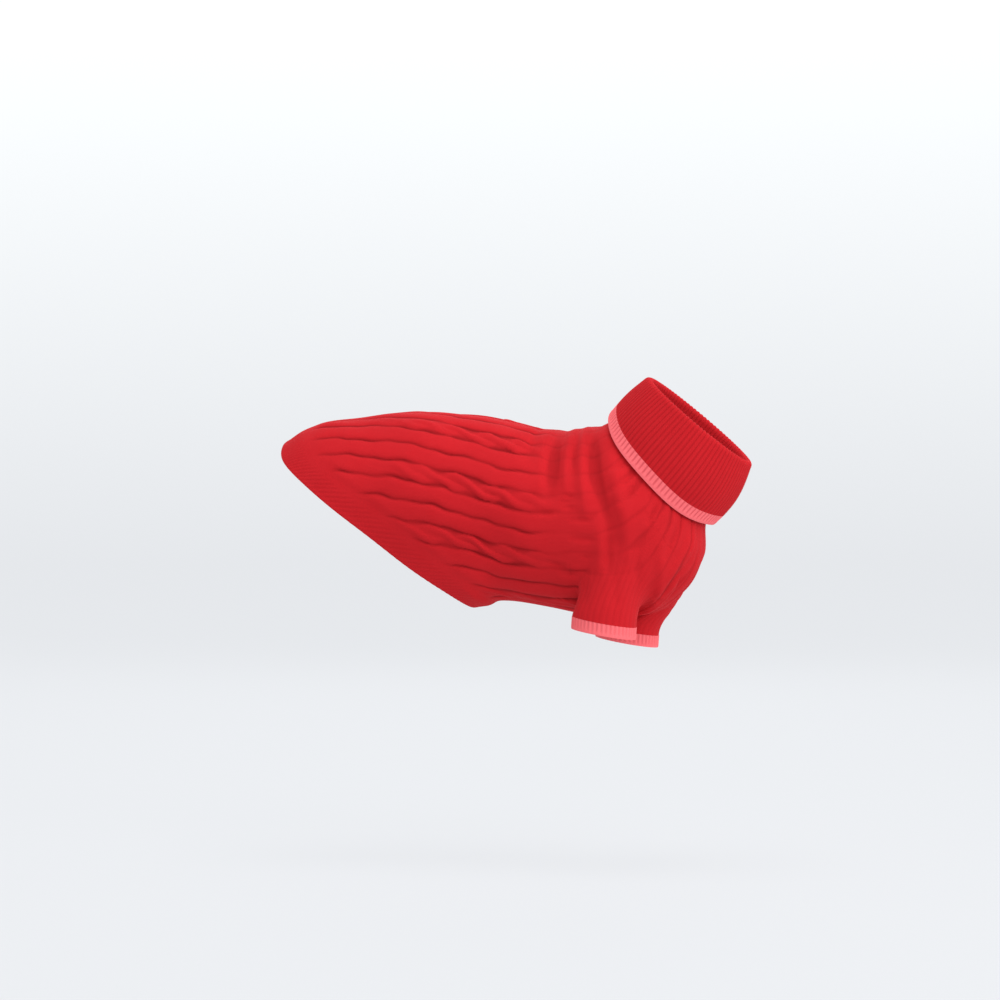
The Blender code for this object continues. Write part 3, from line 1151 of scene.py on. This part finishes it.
@dataclass
class HemBand(ClothPiece):
    """The ribbed band round the slanted rear opening."""

    name: str = "hem_band"
    slot: str = "red_knit"
    wall: float = 2.2 * MM
    columns: int = 600
    rows: int = 18
    flat: tuple[float, float] = (0.024, 0.52)
    area: float = 0.0124
    trunk: Trunk = Trunk()
    creases: Creases = Creases()
    ribs: int = 124
    rib_height: float = 0.12 * MM
    rib_fall: tuple[float, float] = (1.0, 0.7)
    rib_shade: float = 0.12
    edge_roll: float = 0.4 * MM
    roll_place: float = 0.08
    roll_width: float = 0.07

    def place(self, across: Array, along: Array) -> Array:
        """Points of the band's form at these shares.

        Args:
            across: Shares across the piece, from 0 to 1.
            along: Shares along the piece, from 0 to 1.

        Returns:
            The points.
        """
        angle = -across * TURN
        outer = self.trunk.hem_station(angle, 0.0)
        inner = self.trunk.hem_station(angle, self.trunk.hem_band)
        return self.trunk.point(outer + (inner - outer) * along, angle)

    def relief(self, across: Array, along: Array, points: Array) -> tuple[Array, Array]:
        """Fine ribs and a slight roll at the free edge, and the worn creases, with painted shade in the rib
        furrows and crease troughs.

        Args:
            across: Shares across the piece, from 0 to 1.
            along: Shares along the piece, from 0 to 1.
            points: The same places on the piece's form.

        Returns:
            The height over the form, and the painted shade from 0 to 1.
        """
        ribs = self.rib_height * np.cos(TURN * self.ribs * across)
        roll = self.edge_roll * np.exp(-0.5 * ((along - self.roll_place) / self.roll_width) ** 2)
        ribs *= smooth_step(along, *self.rib_fall)
        creases = self.creases.lift(points)
        # Painted shade in the crease troughs and rib furrows.
        shade = self.creases.shade(creases) + self.rib_shade * smooth_step(-ribs, 0, self.rib_height)
        return ribs + roll + creases, shade

    def lay(self, across: Array, along: Array) -> Array:
        """Distances across and along the columns of stitches, in metres."""
        return np.stack([across * self.flat[1], along * self.trunk.hem_band], axis=1)


@dataclass(frozen=True)
class SleeveForm:
    """Where a sleeve and its cuff lie."""

    trunk: Trunk
    side: Side
    centre_x: float
    centre_z: float
    front_ease: float
    centre_y: float = 44 * MM
    tilt: float = math.radians(10)
    lean: float = math.radians(4)
    half_length: float = 28.2 * MM
    half_width: float = 26 * MM
    cuff_depth: float = 10.5 * MM
    top_pull: float = 0.42
    cuff_pull: float = 0.34
    drop_outside: float = 0.12
    drop_underarm: float = 0.56
    edge_step: float = 4 * MM

    def down(self) -> Array:
        """The way down the cuff."""
        return np.array([-math.sin(self.lean), 0, -math.cos(self.lean)])

    def ring(self, turn: Array, depth: Array) -> Array:
        """Points on the cuff.

        Args:
            turn: 0 at the cuff's front, a quarter turn on its outer side.
            depth: How far down the cuff the points lie.

        Returns:
            The points.
        """
        centre = np.array([self.centre_x, self.side.value * self.centre_y, self.centre_z])
        forward = np.array([math.cos(self.tilt), 0, -math.sin(self.tilt)])
        outward = np.array([0, self.side.value, 0])
        return (
            centre
            + self.half_length * np.cos(turn)[:, None] * forward
            + self.half_width * np.sin(turn)[:, None] * outward
            + depth[:, None] * self.down()
        )

    def point(self, turn: Array, share: Array, gap: float) -> Array:
        """Points on the sleeve.

        Args:
            turn: 0 at the front, a quarter turn on the outer side.
            share: 0 at the armhole and 1 at the cuff.
            gap: How far the sleeve keeps from its neighbours.

        Returns:
            The points.
        """
        top = self.trunk.armhole(turn, -gap, self.side)
        inside = unit(self.trunk.armhole(turn, -self.edge_step, self.side) - top)
        under = (1 - np.sin(turn))[:, None] / 2
        drop = self.drop_outside + (self.drop_underarm - self.drop_outside) * under
        leaving = unit((1 - drop) * inside + drop * self.down())
        end = self.ring(turn, np.full(len(turn), -gap))
        length = np.linalg.norm(end - top, axis=1)[:, None]
        pulled_top = top + self.top_pull * length * leaving
        pulled_end = end - self.cuff_pull * length * self.down()
        middle = (4 * share * (1 - share)) ** 2
        ease = self.front_ease * np.clip(np.cos(turn), 0, 1) ** 2 * middle
        t = share[:, None]
        return (
            (1 - t) ** 3 * top
            + 3 * (1 - t) ** 2 * t * pulled_top
            + 3 * (1 - t) * t**2 * pulled_end
            + t**3 * end
            + ease[:, None] * np.array([1, 0, 0])
        )


SLEEVES = (
    SleeveForm(Trunk(), Side.RIGHT, centre_x=34.2 * MM, centre_z=-163.4 * MM, front_ease=-3.0 * MM),
    SleeveForm(Trunk(), Side.LEFT, centre_x=39.4 * MM, centre_z=-175.0 * MM, front_ease=8.0 * MM),
)


@dataclass
class Sleeve(ClothPiece):
    """A short sleeve, from its armhole to its cuff."""

    slot: str = "red_knit"
    wall: float = 2.2 * MM
    columns: int = 240
    rows: int = 60
    flat: tuple[float, float] = (0.2, 0.065)
    area: float = 0.0095
    form: SleeveForm | None = None
    knit: TrunkKnit = TrunkKnit()
    creases: Creases = Creases()
    ribs: int = 30
    rib_height: float = 0.1 * MM
    rib_shade: float = 0.12
    girth: float = 185 * MM
    depth: float = 65 * MM
    length: float = 55 * MM
    shared_rise: float = 0.35
    trunk_rise: float = 0.7
    normal_rise: float = 0.75
    shoulder_turns: tuple[float, float] = (-0.35, 0.4)
    crease_rise: float = 0.25

    def turn(self, across: Array) -> Array:
        """The turn round the sleeve that keeps the cloth's face outward."""
        return self.form.side.value * across * TURN

    def place(self, across: Array, along: Array) -> Array:
        """Points of the sleeve's form, which leaves the trunk without a kink over the shoulder.

        Args:
            across: Shares across the piece, from 0 to 1.
            along: Shares along the piece, from 0 to 1.

        Returns:
            The points.
        """
        turn = self.turn(across)
        own = self.form.point(turn, 1 - along, self.GAP)
        onward = self.knit.trunk.point(*self.spot(across, along))
        share = smooth_step(along, self.trunk_rise, 1.0) * smooth_step(np.sin(turn), *self.shoulder_turns)
        return own + (onward - own) * share[:, None]

    def spot(self, across: Array, along: Array) -> tuple[Array, Array]:
        """Where the trunk's stitches would lie if they ran on into the sleeve.

        Args:
            across: Shares across the piece, from 0 to 1.
            along: Shares along the piece, from 0 to 1.

        Returns:
            The stations, and the angles within half a turn.
        """
        turn, trunk = self.turn(across), self.knit.trunk
        inside = (1 - along) * self.length
        reach = trunk.armhole_reach - inside / trunk.station_pitch
        station = trunk.armhole_station + reach * np.cos(turn)
        spread = trunk.armhole_spread - inside / trunk.girth_radius
        angle = self.form.side.value * (trunk.armhole_angle - spread * np.sin(turn))
        return station, within_half_turn(angle)

    def normals(self, across: Array, along: Array) -> Array:
        """Normals of the form, which turn into the trunk's own at the armhole.

        Args:
            across: Shares across the piece, from 0 to 1.
            along: Shares along the piece, from 0 to 1.

        Returns:
            The normals, each a metre long.
        """
        own = super().normals(across, along)
        trunk = self.knit.trunk.normal(*self.spot(across, np.ones(len(along))))
        share = smooth_step(along, self.normal_rise, 1.0)[:, None]
        return unit(own + (trunk - own) * share)

    def relief(self, across: Array, along: Array, points: Array) -> tuple[Array, Array]:
        """The trunk's stitches dying away into shallow ribs down the sleeve, and the creases, with painted
        shade in their furrows and troughs.

        Args:
            across: Shares across the piece, from 0 to 1.
            along: Shares along the piece, from 0 to 1.
            points: The same places on the piece's form.

        Returns:
            The height over the form, and the painted shade from 0 to 1.
        """
        shared = smooth_step(along, self.shared_rise, 1.0)
        ribs = self.rib_height * np.cos(TURN * self.ribs * across)
        station, angle = self.spot(across, along)
        stitches, furrow = self.knit.stitches(station, angle)
        creases = self.creases.lift(points) * smooth_step(along, 0.0, self.crease_rise)
        # Painted shade in the rib furrows, the trunk stitches' furrows and the crease troughs.
        rib_shade = self.rib_shade * smooth_step(-ribs, 0, self.rib_height)
        shade = furrow * shared + rib_shade * (1 - shared)
        lift = stitches * shared + ribs * (1 - shared) + creases
        return lift, shade + self.creases.shade(creases)

    def lay(self, across: Array, along: Array) -> Array:
        """Distances across and along the columns of stitches, in metres."""
        return np.stack([across * self.girth, along * self.depth], axis=1)


@dataclass
class Cuff(ClothPiece):
    """The ribbed cuff of a sleeve."""

    slot: str = "coral_rib"
    wall: float = 2.2 * MM
    columns: int = 264
    rows: int = 10
    flat: tuple[float, float] = (0.0105, 0.164)
    area: float = 0.00172
    form: SleeveForm | None = None
    ribs: int = 44
    rib_height: float = 0.42 * MM
    rib_rise: tuple[float, float] = (0.05, 0.4)
    rib_shade: float = 0.3
    shade_start: float = -0.05 * MM
    edge_roll: float = 0.35 * MM
    roll_place: float = 0.12
    roll_width: float = 0.12

    def place(self, across: Array, along: Array) -> Array:
        """Points of the cuff's form at these shares."""
        turn = self.form.side.value * across * TURN
        return self.form.ring(turn, (1 - along) * self.form.cuff_depth)

    def relief(self, across: Array, along: Array, points: Array) -> tuple[Array, Array]:
        """Ribs that flatten out at the free edge, which swells a little, with painted shade in the rib
        furrows.

        Args:
            across: Shares across the piece, from 0 to 1.
            along: Shares along the piece, from 0 to 1.
            points: The same places on the piece's form; not used.

        Returns:
            The height over the form, and the painted shade in the rib furrows from 0 to 1.
        """
        ribs = self.rib_height * np.cos(TURN * self.ribs * across) * smooth_step(along, *self.rib_rise)
        roll = self.edge_roll * np.exp(-0.5 * ((along - self.roll_place) / self.roll_width) ** 2)
        # Painted shade in the rib furrows.
        return ribs + roll, self.rib_shade * smooth_step(-ribs, self.shade_start, self.rib_height)

    def lay(self, across: Array, along: Array) -> Array:
        """Distances across and along the columns of stitches, in metres."""
        return np.stack([across * self.flat[1], along * self.flat[0]], axis=1)


@dataclass(frozen=True)
class NeckForm:
    """The roll neck: up from its seam, over the fold and down outside to its free edge."""

    seam: Ring = Trunk().rings[-1]
    fold: Ring = Ring(66, 45.0, 152, -28.0, 50.0)
    edge: Ring = Ring(33.5, 17.2, 122, -79.0, 59.5)
    fold_radius: float = 2.6 * MM
    tip_depth: float = 10.8 * MM
    side_sag: float = 10.5 * MM
    nape_bulge: float = 1.5 * MM
    throat_bulge: float = 5.0 * MM
    wall: float = 2.2 * MM
    rise_end: float = 0.45
    drop_start: float = 0.57

    def ring(self, ring: Ring, angle: Array, outward: Array, upward: Array) -> Array:
        """Points on a ring of the neck, moved outward from it and upward along the neck.

        Args:
            ring: The ring.
            angle: Angles round the neck from its top.
            outward: How far outward the points lie.
            upward: How far up the neck the points lie.

        Returns:
            The points.
        """
        rows = np.repeat(np.array([ring.row()]), len(angle), axis=0)
        across = unit(rows[:, [0, 1]] - rows[:, [2, 3]])
        rise = upward[:, None] * np.stack([across[:, 1], -across[:, 0]], axis=1)
        shift = outward[:, None] * across
        rows[:, [0, 1]] += shift + rise
        rows[:, [2, 3]] += rise - shift
        rows[:, 4] += outward
        return on_rings(rows, angle)

    def turned_down(self, angle: Array, share: Array) -> Array:
        """Points on the turned-down layer. share is 0 at the fold and 1 at the free edge.

        Args:
            angle: Angles round the neck from its top.
            share: 0 at the fold and 1 at the free edge.

        Returns:
            The points.
        """
        still = np.zeros(len(angle))
        top = self.ring(self.fold, angle, still + self.fold_radius, still)
        edge = self.ring(self.edge, angle, still, -self.side_sag * (1 - np.cos(angle) ** 4))
        towards_throat = (1 - np.cos(angle)) / 2
        bulge = self.nape_bulge + (self.throat_bulge - self.nape_bulge) * towards_throat
        fuller = self.ring(self.fold, angle, still + self.fold_radius + bulge, still) - top
        return top + (edge - top) * share[:, None] + fuller * np.sin(math.pi * share)[:, None]

    def share_above_edge(self, angle: Array, depth: float) -> Array:
        """The share down the turned-down layer that lies that far above its free edge.

        Args:
            angle: Angles round the neck from its top.
            depth: The distance from the free edge.

        Returns:
            The share at each angle.
        """
        top = self.turned_down(angle, np.zeros(len(angle)))
        edge = self.turned_down(angle, np.ones(len(angle)))
        return 1 - depth / np.linalg.norm(top - edge, axis=1)

    def point(self, angle: Array, share: Array, gap: float) -> Array:
        """Points on the middle of the collar's cloth, from the neck seam to the tipping.

        Args:
            angle: Angles round the neck from its top.
            share: 0 at the neck seam and 1 at the tipping.
            gap: How far the collar keeps from its neighbours.

        Returns:
            The points.
        """
        still = np.zeros(len(angle))
        base = self.ring(self.seam, angle, still - self.wall / 2, still + gap)
        top_in = self.ring(self.fold, angle, still - self.fold_radius, still)
        rise = np.clip(share / self.rise_end, 0, 1)[:, None]
        turn = np.clip((share - self.rise_end) / (self.drop_start - self.rise_end), 0, 1) * math.pi
        drop = np.clip((share - self.drop_start) / (1 - self.drop_start), 0, 1)
        outward, upward = -self.fold_radius * np.cos(turn), self.fold_radius * np.sin(turn)
        over = self.ring(self.fold, angle, outward, upward)
        rising = base + (top_in - base) * rise
        falling = self.turned_down(angle, drop * self.share_above_edge(angle, self.tip_depth + gap))
        on_fold = ((share > self.rise_end) & (share < self.drop_start))[:, None]
        return np.where(on_fold, over, np.where(share[:, None] <= self.rise_end, rising, falling))


@dataclass
class Collar(ClothPiece):
    """The red part of the roll neck."""

    name: str = "collar"
    slot: str = "red_knit"
    wall: float = 2.2 * MM
    columns: int = 552
    rows: int = 48
    flat: tuple[float, float] = (0.345, 0.1)
    area: float = 0.0324
    held: str = "folded"
    form_side: float = 0.0
    form: NeckForm = NeckForm()
    ribs: int = 92
    rib_height: float = 0.36 * MM
    # An even painted shade over the whole collar, and more in the rib furrows.
    ground_shade: float = 0.14
    rib_shade: float = 0.36
    shade_start: float = -0.1 * MM
    slack: Wave = Wave(0.5 * MM, (1 / (5 * TURN),), 0.8)
    slack_rise: tuple[float, float] = (0.6, 0.8)
    slack_fall: tuple[float, float] = (1.0, 0.9)

    def place(self, across: Array, along: Array) -> Array:
        """Points of the collar's form at these shares."""
        return self.form.point(across * TURN, along, self.GAP)

    def relief(self, across: Array, along: Array, points: Array) -> tuple[Array, Array]:
        """Ribs, and a slow unevenness round the neck, with an even painted shade over the collar and more
        in the rib furrows.

        Args:
            across: Shares across the piece, from 0 to 1.
            along: Shares along the piece, from 0 to 1.
            points: The same places on the piece's form; not used.

        Returns:
            The height over the form, and the painted shade from 0 to 1.
        """
        ribs = self.rib_height * np.cos(TURN * self.ribs * across)
        outside = smooth_step(along, *self.slack_rise) * smooth_step(along, *self.slack_fall)
        slack = self.slack.at(across) * outside
        # Painted shade in the rib furrows, over the even painted shade.
        shade = self.rib_shade * smooth_step(-ribs, self.shade_start, self.rib_height)
        return ribs + slack, self.ground_shade + shade

    def lay(self, across: Array, along: Array) -> Array:
        """Distances across and along the columns of stitches, in metres."""
        return np.stack([across * self.flat[0], along * self.flat[1]], axis=1)


@dataclass
class Tipping(ClothPiece):
    """The coral tipping on the collar's free edge."""

    name: str = "collar_tip"
    slot: str = "coral_rib"
    wall: float = 2.2 * MM
    columns: int = 552
    rows: int = 12
    flat: tuple[float, float] = (0.0108, 0.387)
    area: float = 0.00417
    held: str = "folded"
    form_side: float = 0.0
    form: NeckForm = NeckForm()
    ribs: int = 92
    rib_height: float = 0.34 * MM
    rib_fall: tuple[float, float] = (0.95, 0.55)
    # Painted shade in the rib furrows: its strength, the rib depths where it starts and is full, and where
    # it fades towards the free edge.
    rib_shade: float = 0.75
    shade_depths: tuple[float, float] = (-0.3, 0.6)
    shade_fall: tuple[float, float] = (0.95, 0.7)
    edge_roll: float = 0.45 * MM
    roll_place: float = 0.84
    roll_width: float = 0.12

    def place(self, across: Array, along: Array) -> Array:
        """Points of the tipping's form at these shares.

        Args:
            across: Shares across the piece, from 0 to 1.
            along: Shares along the piece, from 0 to 1.

        Returns:
            The points.
        """
        angle = across * TURN
        start = self.form.share_above_edge(angle, self.form.tip_depth)
        return self.form.turned_down(angle, start + (1 - start) * along)

    def relief(self, across: Array, along: Array, points: Array) -> tuple[Array, Array]:
        """Ribs that run out into a plain, slightly swollen free edge, with painted shade in the rib furrows
        away from the free edge.

        Args:
            across: Shares across the piece, from 0 to 1.
            along: Shares along the piece, from 0 to 1.
            points: The same places on the piece's form; not used.

        Returns:
            The height over the form, and the painted shade from 0 to 1.
        """
        ribs = self.rib_height * np.cos(TURN * self.ribs * across) * smooth_step(along, *self.rib_fall)
        roll = self.edge_roll * np.exp(-0.5 * ((along - self.roll_place) / self.roll_width) ** 2)
        # Painted shade in the rib furrows, fading out towards the free edge.
        rib_furrow_shade = smooth_step(-ribs / self.rib_height, *self.shade_depths)
        return ribs + roll, self.rib_shade * rib_furrow_shade * smooth_step(along, *self.shade_fall)

    def lay(self, across: Array, along: Array) -> Array:
        """Distances across and along the columns of stitches, in metres."""
        return np.stack([across * self.flat[1], along * self.flat[0]], axis=1)


# ---------------------------------------------------------------- the studio


@dataclass(frozen=True)
class Softbox:
    """A square lamp that looks at the garment."""

    name: str
    place: tuple[float, float, float]
    size: float
    power: float

    def build(self, aim: Vector) -> None:
        """Hangs the lamp.

        Args:
            aim: The point the lamp looks at.
        """
        lamp = bpy.data.lights.new(self.name, "AREA")
        lamp.shape = "SQUARE"
        lamp.size = self.size
        lamp.energy = self.power
        holder = bpy.data.objects.new(self.name, lamp)
        holder.location = self.place
        holder.rotation_euler = (aim - Vector(self.place)).to_track_quat("-Z", "Y").to_euler()
        bpy.context.scene.collection.objects.link(holder)


@dataclass(frozen=True)
class Studio:
    """A plain pale room that curves up from its floor, soft lamps and the camera."""

    floor_drop: float = 0.385
    floor_radius: float = 3.0
    wall_radius: float = 5.5
    wall_height: float = 4.0
    camera_distance: float = 3.0
    camera_azimuth: float = math.radians(12)
    camera_height: float = math.radians(1)
    view_width: float = 0.88
    view_shift: tuple[float, float] = (-0.066, -0.0588)
    air: tuple[float, float, float] = (0.97, 0.985, 1.0)
    air_strength: float = 0.85
    cove_steps: int = 12
    round_steps: int = 96
    paper_colour: tuple[float, float, float] = (0.12, 0.122, 0.124)
    paper_roughness: float = 0.95
    paper_gloss: float = 0.1
    floor_glow: tuple[float, float, float] = (0.66, 0.675, 0.70)
    wall_glow: tuple[float, float, float] = (0.90, 0.925, 0.935)
    glow_rise: float = 0.8
    glow_at_zero: float = 0.2
    softboxes: tuple[Softbox, ...] = (
        Softbox("key", (1.3, -1.9, 1.7), 1.4, 17),
        Softbox("top", (0.1, -0.5, 2.2), 1.2, 20),
        Softbox("front", (2.5, -0.9, 0.1), 1.4, 33),
        Softbox("back", (-0.4, 2.2, 1.2), 1.6, 12),
    )

    def build(self) -> None:
        """Makes the room, its light and the camera."""
        self.room()
        centre = (CAD_BOX[0] + CAD_BOX[1]) / 2
        for softbox in self.softboxes:
            softbox.build(centre)
        world = bpy.data.worlds.new("studio_air")
        world.use_nodes = True
        background = world.node_tree.nodes["Background"]
        background.inputs["Color"].default_value = (*self.air, 1)
        background.inputs["Strength"].default_value = self.air_strength
        bpy.context.scene.world = world
        bpy.context.scene.view_settings.view_transform = "Standard"
        self.camera()

    def room(self) -> None:
        """The floor, turned from a profile that curves up into a wall."""
        profile = bmesh.new()
        rise = self.wall_radius - self.floor_radius
        middle = profile.verts.new((0, 0, -self.floor_drop))
        outer = bmesh.ops.extrude_vert_indiv(profile, verts=[middle])["verts"]
        bmesh.ops.translate(profile, verts=outer, vec=(self.floor_radius, 0, 0))
        cove = bmesh.ops.spin(
            profile, geom=outer, cent=(self.floor_radius, 0, rise - self.floor_drop),
            axis=(0, -1, 0), angle=math.pi / 2, steps=self.cove_steps,
        )["geom_last"]
        ends = [part for part in cove if isinstance(part, bmesh.types.BMVert)]
        rim = bmesh.ops.extrude_vert_indiv(profile, verts=ends)["verts"]
        bmesh.ops.translate(profile, verts=rim, vec=(0, 0, self.wall_height - rise))
        bmesh.ops.spin(
            profile, geom=profile.verts[:] + profile.edges[:], cent=(0, 0, 0), axis=(0, 0, 1),
            angle=TURN, steps=self.round_steps, use_merge=True,
        )
        bmesh.ops.remove_doubles(profile, verts=profile.verts, dist=0.1 * MM)
        bmesh.ops.recalc_face_normals(profile, faces=profile.faces)
        mesh = bpy.data.meshes.new("room")
        profile.to_mesh(mesh)
        profile.free()
        mesh.shade_smooth()
        mesh.materials.append(self.paper())
        room = bpy.data.objects.new("room", mesh)
        bpy.context.scene.collection.objects.link(room)

    def paper(self) -> bpy.types.Material:
        """Matt pale paper.

        Returns:
            The material.
        """
        material = bpy.data.materials.new("pale_paper")
        material.use_nodes = True
        shader = material.node_tree.nodes["Principled BSDF"]
        shader.inputs["Base Color"].default_value = (*self.paper_colour, 1)
        shader.inputs["Roughness"].default_value = self.paper_roughness
        shader.inputs["Specular IOR Level"].default_value = self.paper_gloss
        nodes = Nodes(material)
        height = nodes.height(nodes.object_place())
        rise = nodes.scaled(height, self.glow_rise, self.glow_at_zero)
        glow = nodes.math("MINIMUM", nodes.math("MAXIMUM", rise, 0.0), 1.0)
        colour = nodes.mix(self.floor_glow, self.wall_glow, glow)
        nodes.link(colour, shader.inputs["Emission Color"])
        shader.inputs["Emission Strength"].default_value = 1.0
        return material

    def camera(self) -> None:
        """The camera, low and a little to the front of the wearer's right side."""
        azimuth, level = self.camera_azimuth, math.cos(self.camera_height)
        back = Vector((math.sin(azimuth) * level, -math.cos(azimuth) * level, math.sin(self.camera_height)))
        turn = (-back).to_track_quat("-Z", "Y")
        right, up = turn @ Vector((1, 0, 0)), turn @ Vector((0, 1, 0))
        aim = self.view_shift[0] * right + self.view_shift[1] * up
        data = bpy.data.cameras.new("camera")
        data.lens = data.sensor_width * self.camera_distance / self.view_width
        camera = bpy.data.objects.new("camera", data)
        camera.location = aim + back * self.camera_distance
        camera.rotation_euler = turn.to_euler()
        bpy.context.scene.collection.objects.link(camera)
        bpy.context.scene.camera = camera


def main() -> None:
    """Builds the studio and every piece of the sweater."""
    logging.basicConfig(level=logging.INFO, format="%(name)s %(message)s")
    Studio().build()
    red, coral = RED_YARN.material(), CORAL_YARN.material()
    BackPanel(red).build()
    ChestPanel(red).build()
    HemBand(red).build()
    for form in SLEEVES:
        side = form.side.name.lower()
        Sleeve(red, f"sleeve_{side}", form=form).build()
        Cuff(coral, f"cuff_{side}", form=form).build()
    Collar(red).build()
    Tipping(coral).build()


if __name__ == "__main__":
    main()
